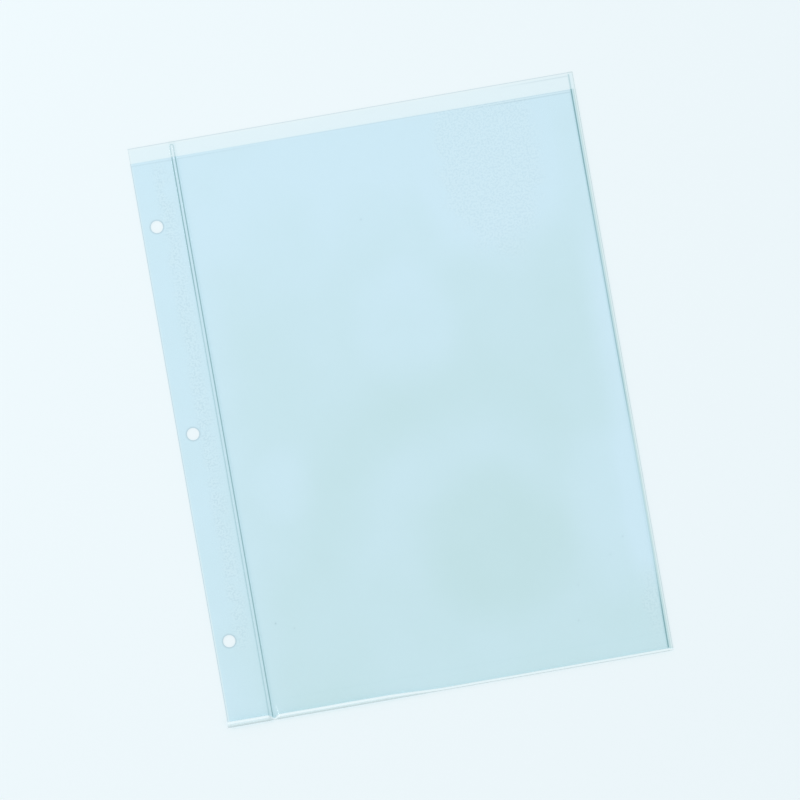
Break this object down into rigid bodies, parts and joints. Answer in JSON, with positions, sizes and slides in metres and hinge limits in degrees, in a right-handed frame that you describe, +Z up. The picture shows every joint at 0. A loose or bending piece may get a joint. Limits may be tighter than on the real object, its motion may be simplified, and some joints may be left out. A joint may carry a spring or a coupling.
{
  "type": "sheet protector",
  "caption": "Clear vinyl top-loading sheet protector with a bottom fold, welded sides and a punched ring-binder margin; the page turns at the binding weld and the mouth opens.",
  "frame": {"origin": "centre of the sheet's underside, on the surface it lies on", "axes": "+X across the page away from the binding margin, +Y up the page towards the mouth, +Z up out of the front ply"},
  "size_m": [0.2318, 0.3016, 0.003],
  "materials": {
    "film": "clear, faintly blue, glossy vinyl film",
    "fold": "the same clear film, brighter where it turns round the fold",
    "weld": "fused clear vinyl, pressed into darker glossy lines"
  },
  "bodies": {
    "binding_margin": {"margin_back": "film", "margin_front": "film", "margin_fold": "fold", "margin_flare": "film", "binding_weld": "weld", "hinge_crease": "film"},
    "pocket": {"pocket_back": "film", "bottom_fold": "fold", "pocket_flare": "film", "edge_weld": "weld"},
    "front": {"pocket_front": "film"}
  },
  "joints": [
    {"name": "page_turn", "type": "hinge", "parent": "binding_margin", "child": "pocket", "pos_m": [-0.09173, 0, 0.0003], "axis": [0, -1, 0], "range_deg": [-90, 90], "stiffness_Nm_per_rad": 0.05, "deforming": ["hinge_crease"]},
    {"name": "mouth_open", "type": "hinge", "parent": "pocket", "child": "front", "pos_m": [0.0109, -0.1408, 0.00047], "axis": [1, 0, 0], "range_deg": [0, 3], "stiffness_Nm_per_rad": 0.1}
  ]
}
